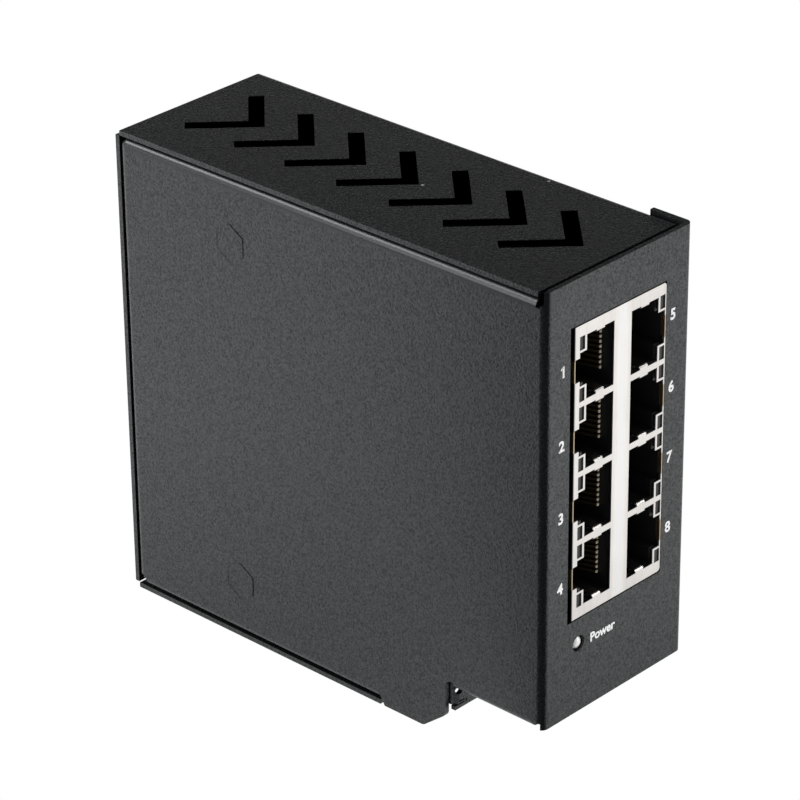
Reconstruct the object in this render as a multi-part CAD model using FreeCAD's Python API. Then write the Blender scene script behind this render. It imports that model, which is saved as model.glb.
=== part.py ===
import FreeCAD, Part
import math
import os

# DIN-rail ethernet switch: a stepped case of two folded sheets, a 2 x 4 shielded jack block on a
# circuit board that stands on pressed-in standoffs, and a rail clip with a sprung latch.
# Millimetres, +Z up, front facing -Y. Sizes are laid out from the case's centre plane (X), the front
# panel's outer face (Y) and the underside (Z). The finished pieces are then moved together, so that the
# origin is the middle of the rail seat: the rail's centre line on the clip's face.

V = FreeCAD.Vector
RIGHT = V(1, 0, 0)
LEFT = V(-1, 0, 0)
BACK = V(0, 1, 0)
FRONT = V(0, -1, 0)
UP = V(0, 0, 1)
DOWN = V(0, 0, -1)

# ---- driving dimensions: case --------------------------------------------------------------------
case_width = 40.0
case_height = 100.0
case_depth = 108.3
sheet = 1.0
bend_inside = 0.5
lap_gap = 0.3
lap_gap_back = 0.5
lap_gap_bottom = 0.6
slip_gap = 0.1
top_drop = 0.5
side_inset = 0.55
top_setback = 2.4
cover_flange = 8.0
return_depth = 9.2
relief = 0.6
flange_clearance = 1.0
bend_notch_top = 2.8
bend_notch_bottom = 1.3

# stepped underside: the nose is the short part in front, the toe the tab behind it
nose_height = 11.3
toe_front = 23.9
toe_length = 15.6
toe_lift = 0.5
toe_bevel_y = 5.6
toe_bevel_z = 4.4
toe_radius = 1.5
bay_back = 41.1
step_wall_y = 22.5
step_wall_bottom = 6.0
step_wall_top = 14.0
step_wall_inset = 1.2
step_return = 5.0
step_return_rise = 0.9
tie_hole_radius = 0.85
tie_hole_inset = 1.3
tie_hole_rise = 3.85
tie_slot_count = 2
tie_slot_width = 0.3
tie_slot_length = 1.4
tie_slot_spacing = 0.55
tie_slot_inset = 1.2
tie_slot_rise = 0.75
tie_slot_upright = 0.75

# vents in the top wall
vent_count = 7
vent_last_tip = 20.5
vent_first_tip = 8.6
vent_reach = 10.7
vent_slot = 3.1

# ---- driving dimensions: board, standoffs and fasteners ------------------------------------------
standoff_length = 5.1
standoff_hex = 7.1
standoff_radius = 2.7
standoff_back = 30.7
standoff_low_z = 13.0
standoff_drop = 14.6
press_gap = 0.02
board_thickness = 1.6
board_front = 2.6
board_back_gap = 24.3
board_top_gap = 2.0
board_rear_drop = 7.0
board_step_y = 44.0
board_edge_gap = 1.4
screw_radius = 1.5
clearance_radius = 1.7
thread_gap = 0.02
head_radius = 2.8
head_height = 1.8
driver_width = 0.8
driver_depth = 0.9
nut_radius = 2.9
nut_height = 1.4
board_screw_length = 5.2
case_screw_length = 5.6
clip_screw_length = 6.0
back_screw_low_z = 20.0
back_screw_drop = 20.0
side_screw_gap = 3.4

# ---- driving dimensions: jack block --------------------------------------------------------------
jack_rows = 4
jack_pitch = 13.97
jack_end = 1.69
jack_height = 25.1
jack_depth = 27.0
jack_offset = 0.6
shield_sheet = 0.25
shield_gap = 0.05
cutout_gap_left = 1.1
cutout_gap_right = 0.12
cutout_gap_z = 0.3
jack_skew = 0.57
jack_skirt = 2.4
jack_corner = 0.7
housing_recess = 0.9
housing_wall = 0.45
port_web = 4.75
port_height = 12.7
port_width = 7.45
port_depth = 15.0
shoulder_height = 6.65
shoulder_reach = 1.85
key_height = 4.6
light_near = 0.5
light_width = 1.4
light_height = 2.7
light_offset = 5.1
light_depth = 3.0
tongue_width = 2.2
tongue_length = 4.0
tongue_rise = 0.9
tongue_root = 0.3
contact_count = 8
contact_pitch = 1.02
contact_width = 0.5
contact_sheet = 0.25
contact_rise = 3.0
contact_front = 2.6
contact_tip = 9.6
contact_bend = 0.7
contact_corner = 0.35

# ---- driving dimensions: parts on the board ------------------------------------------------------
# y and z of each part are measured from the middle of the switch chip
chip_y = 58.0
chip_side = 14.0
chip_rise = 1.4
chip_bevel = 0.3
chip_lead_count = 16
chip_lead_pitch = 0.8
chip_lead_width = 0.35
chip_lead_reach = 1.0
chip_lead_sheet = 0.2
magnetics_y = 36.0
magnetics_length = 9.5
magnetics_height = 12.4
magnetics_rise = 5.8
capacitor_count = 2
capacitor_radius = 3.5
capacitor_rise = 10.5
capacitor_groove = 0.4
capacitor_groove_start = 1.8
capacitor_groove_width = 0.6
capacitor_first_z = -22.0
capacitor_pitch = 11.0
can_corner = 2.0
inductor_place = (-8.8, -45.0)
inductor_size = (10.0, 10.0, 4.5)
crystal_place = (0.0, 16.0)
crystal_size = (10.6, 4.4, 3.4)
regulator_place = (16.0, -24.0)
regulator_size = (6.5, 6.2, 2.3)
fuse_place = (14.0, -38.0)
fuse_size = (3.2, 7.4, 2.6)

# ---- driving dimensions: power light and power inlet ---------------------------------------------
led_radius = 1.5
led_gap = 0.1
led_rise = 2.2
led_drop = 5.57
led_recess = 0.1
led_length = 4.5
led_rim = 0.4
led_rim_length = 1.0
led_holder_length = 4.0
pole_count = 3
pole_pitch = 5.08
inlet_height = 8.6
inlet_depth = 12.0
inlet_wall = 1.0
inlet_floor = 3.0
inlet_key_width = 1.8
inlet_mouth_z = 14.0
pin_size = 1.0
pin_recess = 2.0

# ---- driving dimensions: rail clip ---------------------------------------------------------------
rail_height = 35.0
rail_lip = 1.0
rail_offset = 4.0
rail_gap = 0.3
clip_width = 18.0
clip_sheet = 1.5
clip_bend_inside = 0.4
hook_drop = 3.2
channel_length = 21.0
channel_start = 1.5
channel_lip = 3.2
stop_rise = 4.5
stop_gap = 0.1
latch_thickness = 3.0
latch_gap = 0.2
latch_side_gap = 0.3
latch_travel = 4.0
latch_nose = 2.9
latch_tail = 8.0
latch_tip = 0.7
latch_window_width = 4.4
pull_slot_width = 7.0
pull_slot_height = 2.4
pull_slot_rise = 2.2
spring_radius = 1.25
spring_wire = 0.25
spring_length = 9.0
spring_turns = 4
clip_screw_spacing = 18.0

# ---- places worked out from the driving dimensions -----------------------------------------------
x_left = -case_width / 2
x_right = case_width / 2
bend_outside = bend_inside + sheet
vent_pitch = (case_depth - vent_first_tip - vent_last_tip) / (vent_count - 1)
standoff_y = case_depth - standoff_back
standoff_high_z = case_height - standoff_drop
board_back = case_depth - board_back_gap
back_screw_high_z = case_height - back_screw_drop
top_outer = case_height - top_drop
cover_top = top_outer - sheet - lap_gap
cover_back = case_depth - sheet - lap_gap_back
cover_bottom = sheet + lap_gap_bottom
toe_back = toe_front + toe_length
tray_right = x_right - sheet - slip_gap
tray_left = x_left + side_inset
tray_front = sheet + lap_gap
tray_floor = nose_height + sheet + lap_gap
board_left = x_left + sheet + standoff_length
board_face = board_left + board_thickness
board_nose_z = tray_floor + sheet + board_edge_gap
board_top_z = cover_top - sheet - board_top_gap
jack_right = board_face + jack_height
jack_middle = board_face + jack_height / 2 + jack_skew
jack_length = jack_rows * jack_pitch + 2 * jack_end
inlet_top = inlet_mouth_z + inlet_depth
jack_centre_z = (inlet_top + cover_top - sheet) / 2 - jack_offset
jack_bottom = jack_centre_z - jack_length / 2
jack_top = jack_centre_z + jack_length / 2
led_z = jack_bottom - led_drop
clip_face = case_depth + clip_sheet
rail_centre_z = case_height / 2 + rail_offset
rail_top = rail_centre_z + rail_height / 2
rail_bottom = rail_centre_z - rail_height / 2
rail_seat = V(0, clip_face, rail_centre_z)
led_axis = V(board_face + led_rise, 0, led_z)
led_tip = sheet + led_recess
led_base = led_tip + led_length
inlet_centre_y = (step_wall_y + sheet + bay_back) / 2
inlet_length = pole_count * pole_pitch + inlet_wall
clip_half = clip_width / 2
clip_outside = clip_sheet + clip_bend_inside
hook_top = rail_top + rail_gap + clip_sheet
hook_back = clip_face + rail_lip + rail_gap + clip_sheet
channel_top = rail_bottom - channel_start
channel_bottom = channel_top - channel_length
channel_inner = clip_face + latch_thickness + 2 * latch_gap
channel_back = channel_inner + clip_sheet
stop_top = channel_bottom + clip_sheet + stop_rise
window_bottom = stop_top - clip_sheet - stop_gap
window_top = stop_top + spring_length


# ---- shape helpers -------------------------------------------------------------------------------
def block(low, high):
    size = high - low
    return Part.makeBox(size.x, size.y, size.z, low)


def rod(radius, start, direction, length):
    return Part.makeCylinder(radius, length, start, direction)


def line(start, end):
    return Part.LineSegment(start, end).toShape()


def plate(points, thickness):
    """A flat polygon, pulled along the vector thickness."""
    return Part.Face(Part.makePolygon(points + points[:1])).extrude(thickness)


def fold(corner, into_panel, along_flange, width, run, thickness=sheet, inside=bend_inside):
    """A bend and its flange. corner is where the two outer faces would meet; run is the bend line."""
    outside = thickness + inside
    centre = corner + (into_panel + along_flange) * outside
    diagonal = (into_panel + along_flange) * math.sqrt(0.5)
    panel_outer = corner + into_panel * outside
    flange_outer = corner + along_flange * outside
    end_outer = corner + along_flange * width
    end_inner = end_outer + into_panel * thickness
    flange_inner = flange_outer + into_panel * thickness
    panel_inner = panel_outer + along_flange * thickness
    edges = [
        Part.Arc(panel_outer, centre - diagonal * outside, flange_outer).toShape(),
        line(flange_outer, end_outer),
        line(end_outer, end_inner),
        line(end_inner, flange_inner),
        Part.Arc(flange_inner, centre - diagonal * inside, panel_inner).toShape(),
        line(panel_inner, panel_outer),
    ]
    return Part.Face(Part.Wire(edges)).extrude(run)


def joined(shapes):
    return shapes[0].multiFuse(shapes[1:]).removeSplitter()


def round_along_x(solid, radius, places):
    """Rounds the edges that run along X through the given (y, z) places."""
    edges = []
    for edge in solid.Edges:
        middle = edge.CenterOfMass
        ends = [vertex.Point for vertex in edge.Vertexes]
        runs_along_x = len(ends) == 2 and abs(ends[0].x - ends[1].x) > sheet / 2
        if runs_along_x and any(math.hypot(middle.y - y, middle.z - z) < 0.01 for y, z in places):
            edges.append(edge)
    return solid.makeFillet(radius, edges)


def hexagon(flats, start, run):
    """A hexagonal prism along X whose corners point up and down."""
    radius = flats / math.sqrt(3)
    points = []
    for index in range(6):
        angle = math.radians(60 * index + 90)
        points.append(start + V(0, radius * math.cos(angle), radius * math.sin(angle)))
    return plate(points, run)


# ---- case ----------------------------------------------------------------------------------------
def back_screw_places():
    x = x_left + sheet + (cover_flange - sheet) * 0.6
    return [V(x, case_depth, z) for z in (back_screw_low_z, back_screw_high_z)]


def side_screw_places():
    y = (bend_outside + return_depth) / 2
    return [V(x_right, y, z) for z in (jack_bottom - side_screw_gap, jack_top + side_screw_gap)]


def clip_screw_places():
    offsets = (-clip_screw_spacing / 2, clip_screw_spacing / 2)
    return [V(0, clip_face, rail_centre_z + offset) for offset in offsets]


def standoff_places():
    return [V(x_left, standoff_y, z) for z in (standoff_low_z, standoff_high_z)]


def cover_side():
    """The large side panel, with the toe and its bevel below."""
    nose_line = nose_height + bend_outside
    rear_line = cover_bottom + bend_outside
    bevel_low = (toe_front + toe_bevel_y, toe_lift)
    bevel_high = (toe_front, toe_lift + toe_bevel_z)
    outline = [
        (bend_outside, nose_line),
        (toe_front, nose_line),
        bevel_high,
        bevel_low,
        (toe_back, toe_lift),
        (toe_back + bend_outside, rear_line),
        (cover_back - bend_outside, rear_line),
        (cover_back - bend_outside, cover_top - bend_outside),
        (bend_outside, cover_top - bend_outside),
    ]
    panel = plate([V(x_left, y, z) for y, z in outline], RIGHT * sheet)
    return round_along_x(panel, toe_radius, [bevel_low, bevel_high, (toe_front, nose_line)])


def corner_shell(centre):
    """The rounded corner of the side panel where its top and back bends meet."""
    shell = Part.makeSphere(bend_outside, centre).cut(Part.makeSphere(bend_inside, centre))
    low = centre + LEFT * bend_outside
    return shell.common(block(low, centre + V(0, bend_outside, bend_outside)))


def make_cover():
    """One folded sheet: side, front and return, with tucked flanges at top, back, bottom and nose."""
    front_run = UP * (case_height - nose_height)
    flange_start = bend_outside + flange_clearance
    rear_start = toe_back + bend_outside
    rear_end = cover_back - bend_outside - relief
    back_low = cover_bottom + bend_outside + relief
    back_high = cover_top - bend_outside
    corner = V(x_left + bend_outside, cover_back - bend_outside, back_high)
    nose_end = step_wall_y - relief
    sheets = [
        cover_side(),
        corner_shell(corner),
        fold(V(x_left, 0, nose_height), BACK, RIGHT, case_width - bend_outside, front_run),
        fold(V(x_right, 0, nose_height), LEFT, BACK, return_depth, front_run),
        fold(V(x_left, flange_start, cover_top), DOWN, RIGHT, cover_flange,
             BACK * (corner.y - flange_start)),
        fold(V(x_left, cover_back, back_low), FRONT, RIGHT, cover_flange, UP * (back_high - back_low)),
        fold(V(x_left, rear_start, cover_bottom), UP, RIGHT, cover_flange,
             BACK * (rear_end - rear_start)),
        fold(V(x_left, flange_start, nose_height), UP, RIGHT, cover_flange,
             BACK * (nose_end - flange_start)),
    ]
    cover = joined(sheets)
    cuts = [
        block(V(board_face - cutout_gap_left, -1, jack_bottom - cutout_gap_z),
              V(jack_right + cutout_gap_right, sheet + 1, jack_top + cutout_gap_z)),
        rod(led_radius + led_gap, V(board_face + led_rise, -1, led_z), BACK, sheet + 2),
        block(V(x_left - 1, bend_outside / 2, case_height - bend_notch_top),
              V(x_left + bend_outside, flange_start, case_height + 1)),
        block(V(x_left - 1, bend_outside / 2, nose_height - 1),
              V(x_left + bend_outside, flange_start, nose_height + bend_notch_bottom)),
    ]
    for place in standoff_places():
        cuts.append(hexagon(standoff_hex + 2 * press_gap, place + LEFT, RIGHT * (sheet + 2)))
    for place in back_screw_places():
        cuts.append(rod(clearance_radius, place, FRONT, 3 * sheet + lap_gap))
    for place in side_screw_places():
        cuts.append(rod(clearance_radius, place + RIGHT, LEFT, sheet + 1 + slip_gap / 2))
    return cover.cut(cuts)


def vent(tip_y):
    """One V-shaped vent slot whose point faces the front."""
    across = vent_slot * math.sqrt(0.5)
    depth = vent_slot * math.sqrt(2)
    points = [
        (0, 0),
        (vent_reach, vent_reach),
        (vent_reach - across, vent_reach + across),
        (0, depth),
        (across - vent_reach, vent_reach + across),
        (-vent_reach, vent_reach),
    ]
    base = [V(x, tip_y + y, top_outer - sheet - 1) for x, y in points]
    return plate(base, UP * (sheet + 2))


def tray_side():
    floor_line = tray_floor + bend_outside
    wall_line = step_wall_y + bend_outside
    outline = [
        (tray_front, floor_line),
        (wall_line, floor_line),
        (wall_line, toe_lift),
        (bay_back, toe_lift),
        (bay_back, bend_outside),
        (case_depth - bend_outside, bend_outside),
        (case_depth - bend_outside, top_outer - bend_outside),
        (tray_front, top_outer - bend_outside),
    ]
    return plate([V(tray_right, y, z) for y, z in outline], LEFT * sheet)


def make_tray():
    """One folded sheet: the far side with the top, back and bottom walls, the step and its floor."""
    span = tray_right - tray_left
    inner_end = case_depth - sheet - slip_gap
    back_low = sheet + 2 * slip_gap
    back_high = top_outer - sheet - slip_gap
    floor_end = step_wall_y - lap_gap
    floor_span = tray_right - (x_left + sheet + lap_gap)
    wall_left = x_left + step_wall_inset
    wall_span = tray_right - wall_left - bend_outside
    return_low = step_wall_bottom + step_return_rise
    sheets = [
        tray_side(),
        fold(V(tray_right, top_setback, top_outer), DOWN, LEFT, span,
             BACK * (inner_end - top_setback)),
        fold(V(tray_right, case_depth, back_low), FRONT, LEFT, span, UP * (back_high - back_low)),
        fold(V(tray_right, bay_back, 0), UP, LEFT, span, BACK * (inner_end - bay_back)),
        fold(V(tray_right, top_setback, tray_floor), UP, LEFT, floor_span,
             BACK * (floor_end - top_setback)),
        fold(V(tray_right, step_wall_y, step_wall_bottom), BACK, LEFT, wall_span,
             UP * (step_wall_top - step_wall_bottom)),
        fold(V(wall_left, step_wall_y, return_low), RIGHT, BACK, step_return,
             UP * (step_wall_top - return_low)),
        block(V(wall_left, step_wall_y, step_wall_bottom),
              V(wall_left + bend_outside, step_wall_y + sheet, return_low - slip_gap)),
    ]
    tray = joined(sheets)
    corner = bend_outside + relief
    cuts = [
        block(V(tray_right - corner, inner_end, top_outer - corner),
              V(tray_right + 1, case_depth + 1, top_outer + 1)),
        block(V(tray_right - corner, case_depth - corner, -1),
              V(tray_right + 1, case_depth + 1, corner)),
    ]
    tie_place = V(wall_left + tie_hole_inset, step_wall_y - 1, step_wall_bottom + tie_hole_rise)
    cuts.append(rod(tie_hole_radius, tie_place, BACK, sheet + 2))
    slot = V(wall_left + tie_slot_inset, step_wall_y - 1, step_wall_bottom + tie_slot_rise)
    for row in range(tie_slot_count):
        low = slot + UP * (row * tie_slot_spacing)
        cuts.append(block(low, low + V(tie_slot_length, sheet + 2, tie_slot_width)))
    upright = slot + RIGHT * (tie_slot_length + tie_slot_width)
    cuts.append(block(upright, upright + V(tie_slot_width, sheet + 2, tie_slot_upright)))
    for index in range(vent_count):
        cuts.append(vent(vent_first_tip + index * vent_pitch))
    for place in back_screw_places() + clip_screw_places():
        start = V(place.x, case_depth + 1, place.z)
        cuts.append(rod(clearance_radius, start, FRONT, sheet + 1 + lap_gap / 2))
    for place in side_screw_places():
        cuts.append(rod(clearance_radius, place, LEFT, 2 * sheet + slip_gap + 1))
    return tray.cut(cuts)


# ---- fasteners -----------------------------------------------------------------------------------
def screw(seat, outward, length):
    """A slotted cheese-head screw whose head sits on the face at seat."""
    body = rod(screw_radius, seat - outward * length, outward, length)
    head = rod(head_radius, seat, outward, head_height)
    across = UP
    side = across.cross(outward)
    start = seat + outward * (head_height - driver_depth) - across * (head_radius + 1)
    near = start - side * (driver_width / 2)
    far = start + side * (driver_width / 2)
    run = across * (2 * head_radius + 2)
    slot = plate([near, far, far + run, near + run], outward * (driver_depth + 1))
    return body.fuse(head).removeSplitter().cut(slot)


def press_nut(seat, inward):
    """A self-clinching nut on the inner face at seat."""
    ring = rod(nut_radius, seat, inward, nut_height)
    return ring.cut(rod(screw_radius + thread_gap, seat, inward, nut_height))


def make_case_screws():
    shapes = [screw(place, BACK, case_screw_length) for place in back_screw_places()]
    shapes += [screw(place, RIGHT, case_screw_length) for place in side_screw_places()]
    return Part.makeCompound(shapes)


def make_clip_screws():
    return Part.makeCompound([screw(place, BACK, clip_screw_length) for place in clip_screw_places()])


def make_press_nuts():
    shapes = []
    for place in back_screw_places():
        shapes.append(press_nut(V(place.x, cover_back - sheet, place.z), FRONT))
    for place in side_screw_places():
        shapes.append(press_nut(V(tray_right - sheet, place.y, place.z), LEFT))
    for place in clip_screw_places():
        shapes.append(press_nut(V(place.x, case_depth - sheet, place.z), FRONT))
    return Part.makeCompound(shapes)


def make_standoffs():
    """Hexagonal heads flush in the side panel, with round tapped posts up to the board."""
    shapes = []
    for place in standoff_places():
        head = hexagon(standoff_hex, place, RIGHT * sheet)
        post = rod(standoff_radius, place, RIGHT, sheet + standoff_length)
        bore_length = board_screw_length - board_thickness + 0.5
        bore = rod(screw_radius + thread_gap, V(board_left, place.y, place.z), LEFT, bore_length)
        shapes.append(head.fuse(post).removeSplitter().cut(bore))
    return Part.makeCompound(shapes)


def make_board_screws():
    places = [V(board_face, place.y, place.z) for place in standoff_places()]
    return Part.makeCompound([screw(place, RIGHT, board_screw_length) for place in places])


# ---- circuit board and what stands on it ---------------------------------------------------------
def make_board():
    outline = [
        (board_front, board_nose_z),
        (board_step_y, board_nose_z),
        (board_step_y, board_nose_z - board_rear_drop),
        (board_back, board_nose_z - board_rear_drop),
        (board_back, board_top_z),
        (board_front, board_top_z),
    ]
    board = plate([V(board_left, y, z) for y, z in outline], RIGHT * board_thickness)
    holes = []
    for place in standoff_places():
        start = V(board_left - 1, place.y, place.z)
        holes.append(rod(clearance_radius, start, RIGHT, board_thickness + 2))
    return board.cut(holes)


def on_board(place, size):
    """A block that stands on the board's face; place is its middle, from the chip's middle."""
    length, height, rise = size
    low = V(board_face, chip_y + place[0] - length / 2, jack_centre_z + place[1] - height / 2)
    return block(low, low + V(rise, length, height))


def round_upright_edges(body):
    """Rounds the edges that stand up from the board."""
    upright = [edge for edge in body.Edges if abs(edge.Vertexes[0].X - edge.Vertexes[1].X) > 1]
    return body.makeFillet(can_corner, upright)


def make_magnetics(row):
    place = (magnetics_y - chip_y, port_z(row) - jack_centre_z)
    return on_board(place, (magnetics_length, magnetics_height, magnetics_rise))


def make_chip():
    low = V(board_face + chip_lead_sheet, chip_y - chip_side / 2, jack_centre_z - chip_side / 2)
    body = block(low, low + V(chip_rise, chip_side, chip_side))
    top_edges = [edge for edge in body.Edges if abs(edge.CenterOfMass.x - low.x - chip_rise) < 0.01]
    return body.makeChamfer(chip_bevel, top_edges)


def make_chip_leads():
    """Gull-wing feet round the chip, flat on the board and up against the chip's sides."""
    half = chip_side / 2
    foot = plate([
        V(board_face, half, 0),
        V(board_face, half + chip_lead_reach, 0),
        V(board_face + chip_lead_sheet, half + chip_lead_reach, 0),
        V(board_face + chip_lead_sheet, half + chip_lead_sheet, 0),
        V(board_face + chip_rise / 2, half + chip_lead_sheet, 0),
        V(board_face + chip_rise / 2, half, 0),
    ], UP * chip_lead_width)
    feet = []
    for side in range(4):
        for index in range(chip_lead_count):
            offset = (index - (chip_lead_count - 1) / 2) * chip_lead_pitch - chip_lead_width / 2
            lead = foot.copy()
            lead.translate(V(0, 0, offset))
            lead.rotate(V(0, 0, 0), RIGHT, 90 * side)
            lead.translate(V(0, chip_y, jack_centre_z))
            feet.append(lead)
    return Part.makeCompound(feet)


def make_capacitor(index):
    """An aluminium can with a groove above its rubber seal."""
    start = V(board_face, chip_y, jack_centre_z + capacitor_first_z - index * capacitor_pitch)
    can = rod(capacitor_radius, start, RIGHT, capacitor_rise)
    groove_start = start + RIGHT * capacitor_groove_start
    groove = rod(capacitor_radius + 1, groove_start, RIGHT, capacitor_groove_width)
    neck = rod(capacitor_radius - capacitor_groove, groove_start, RIGHT, capacitor_groove_width)
    return can.cut(groove.cut(neck))


# ---- jack block ----------------------------------------------------------------------------------
port_names = [(side, row) for side in (-1, 1) for row in range(jack_rows)]


def port_z(row):
    return jack_centre_z + ((jack_rows - 1) / 2 - row) * jack_pitch


def port_span(side, near, far):
    """Low and high X of a span measured outward from the web between the two columns."""
    ends = [jack_middle + side * (port_web / 2 + near), jack_middle + side * (port_web / 2 + far)]
    return min(ends), max(ends)


def port_cut(side, row, start, end, wall):
    """The keyed hole of one port between two depths; wall is left beside the key at the block's side."""
    z = port_z(row)
    edge = jack_right if side > 0 else board_face
    reaches = (
        (0, port_width, port_height),
        (port_width - 1, port_width + shoulder_reach, shoulder_height),
        (port_width - 1, side * (edge - jack_middle) - port_web / 2 - wall, key_height),
    )
    steps = []
    for near, far, height in reaches:
        low_x, high_x = port_span(side, near, far)
        steps.append(block(V(low_x, start, z - height / 2), V(high_x, end, z + height / 2)))
    return joined(steps)


def light_block(side, row, step, start, end, gap):
    """The space of one indicator beside a port's key, made smaller all round by gap."""
    z = port_z(row) + step * light_offset
    near = port_width + light_near
    low_x, high_x = port_span(side, near + gap, near + light_width - gap)
    half = light_height / 2 - gap
    return block(V(low_x, start, z - half), V(high_x, end, z + half))


def tongue(side, row, step):
    """A contact tongue of the shield, bent in from the upper or lower edge of a port."""
    z = port_z(row) + step * port_height / 2
    low_x, high_x = port_span(side, (port_width - tongue_width) / 2, (port_width + tongue_width) / 2)
    profile = [
        (0, tongue_root),
        (0, -tongue_root),
        (shield_sheet, -tongue_root - shield_sheet),
        (tongue_length, -tongue_rise - shield_sheet),
        (tongue_length, -tongue_rise),
        (shield_sheet, -tongue_root),
        (shield_sheet, tongue_root),
    ]
    points = [V(low_x, y, z + step * rise) for y, rise in profile]
    return plate(points, RIGHT * (high_x - low_x))


def make_shield():
    """A thin plated box, open towards the board behind its skirt, with ports and windows in its face."""
    low = V(board_face, 0, jack_bottom)
    high = V(jack_right, jack_depth, jack_top)
    wall = V(shield_sheet, shield_sheet, shield_sheet)
    outer = block(low, high)
    front_edges = [edge for edge in outer.Edges if edge.CenterOfMass.x > high.x - 0.01
                   and abs(edge.Vertexes[0].Y - edge.Vertexes[1].Y) > 1]
    outer = outer.makeFillet(jack_corner, front_edges)
    cuts = [
        block(low + wall, high - wall),
        block(V(low.x - 1, jack_skirt, low.z + shield_sheet), high - wall),
    ]
    for side, row in port_names:
        cuts.append(port_cut(side, row, -1, shield_sheet, shield_sheet))
        for step in (-1, 1):
            cuts.append(light_block(side, row, step, -1, shield_sheet, 0))
    tongues = [tongue(side, row, step) for side, row in port_names for step in (-1, 1)]
    return joined([outer.cut(cuts)] + tongues)


def make_housing():
    """The moulded insert with eight keyed sockets, the indicator pockets and room for the tongues."""
    inset = shield_sheet + shield_gap
    low = V(board_face, housing_recess, jack_bottom + inset)
    high = V(jack_right - inset, jack_depth - inset, jack_top - inset)
    cuts = [block(low - V(1, 1, 1), V(board_face + inset, jack_skirt + shield_gap, high.z + 1))]
    for side, row in port_names:
        cuts.append(port_cut(side, row, 0, port_depth, housing_wall + inset))
        for step in (-1, 1):
            cuts.append(light_block(side, row, step, 0, light_depth, 0))
            z = port_z(row) + step * port_height / 2
            low_x, high_x = port_span(side, (port_width - tongue_width) / 2 - inset,
                                      (port_width + tongue_width) / 2 + inset)
            ends = sorted([z + step * tongue_root, z - step * tongue_root])
            cuts.append(block(V(low_x, 0, ends[0]), V(high_x, tongue_length / 2, ends[1])))
    return block(low, high).cut(cuts)


def make_contacts(side, row):
    """Eight hairpin contacts on the wall next to the web, bent back towards the socket's middle."""
    slope = (contact_tip - contact_front) / (contact_rise - contact_bend)
    profile = [
        (0, port_depth),
        (0, contact_front + contact_corner),
        (contact_corner, contact_front),
        (contact_bend, contact_front),
        (contact_rise, contact_tip),
        (contact_rise - contact_sheet, contact_tip),
        (contact_bend - contact_sheet, contact_front + contact_sheet * slope / 2),
        (contact_sheet, contact_front + contact_sheet * slope),
        (contact_sheet, port_depth),
    ]
    contacts = []
    for index in range(contact_count):
        z = port_z(row) + (index - (contact_count - 1) / 2) * contact_pitch - contact_width / 2
        points = [V(jack_middle + side * (port_web / 2 + rise), y, z) for rise, y in profile]
        contacts.append(plate(points, UP * contact_width))
    return Part.makeCompound(contacts)


def make_lights(side, row):
    start = shield_sheet + shield_gap
    pair = [light_block(side, row, step, start, light_depth, shield_gap) for step in (-1, 1)]
    return Part.makeCompound(pair)


# ---- power light and power inlet -----------------------------------------------------------------
def make_led():
    """A round lens with a domed tip and a rim at its base."""
    dome = Part.makeSphere(led_radius, led_axis + BACK * (led_tip + led_radius))
    lens = rod(led_radius, led_axis + BACK * (led_tip + led_radius), BACK, led_length - led_radius)
    rim = rod(led_radius + led_rim, led_axis + BACK * (led_base - led_rim_length), BACK, led_rim_length)
    return dome.multiFuse([lens, rim]).removeSplitter()


def make_led_holder():
    """The moulded block that holds the light at a right angle to the board."""
    reach = led_radius + led_rim
    low = V(board_face, led_base, led_z - reach - led_rim)
    high = V(board_face + led_rise + reach, led_base + led_holder_length, led_z + reach + led_rim)
    return block(low, high)


def make_inlet():
    """A shrouded three-pole header on the board, with its mouth down in the bay."""
    low = V(board_face, inlet_centre_y - inlet_length / 2, inlet_mouth_z)
    high = low + V(inlet_height, inlet_length, inlet_depth)
    shroud = block(low, high)
    wall = V(inlet_wall, inlet_wall, 0)
    cavity = block(low + wall + DOWN, high - wall + DOWN * inlet_floor)
    keys = []
    for index in range(pole_count):
        y = inlet_centre_y + (index - (pole_count - 1) / 2) * pole_pitch
        keys.append(block(V(high.x - inlet_wall - 1, y - inlet_key_width / 2, inlet_mouth_z - 1),
                          V(high.x + 1, y + inlet_key_width / 2, inlet_mouth_z + inlet_depth / 2)))
    return shroud.cut([cavity] + keys)


def make_inlet_pins():
    pins = []
    for index in range(pole_count):
        y = inlet_centre_y + (index - (pole_count - 1) / 2) * pole_pitch
        middle = V(board_face + inlet_height / 2, y, inlet_mouth_z + pin_recess)
        half = V(pin_size / 2, pin_size / 2, 0)
        top = UP * (inlet_depth - inlet_floor - pin_recess)
        pins.append(block(middle - half, middle + half + top))
    return Part.makeCompound(pins)


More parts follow.
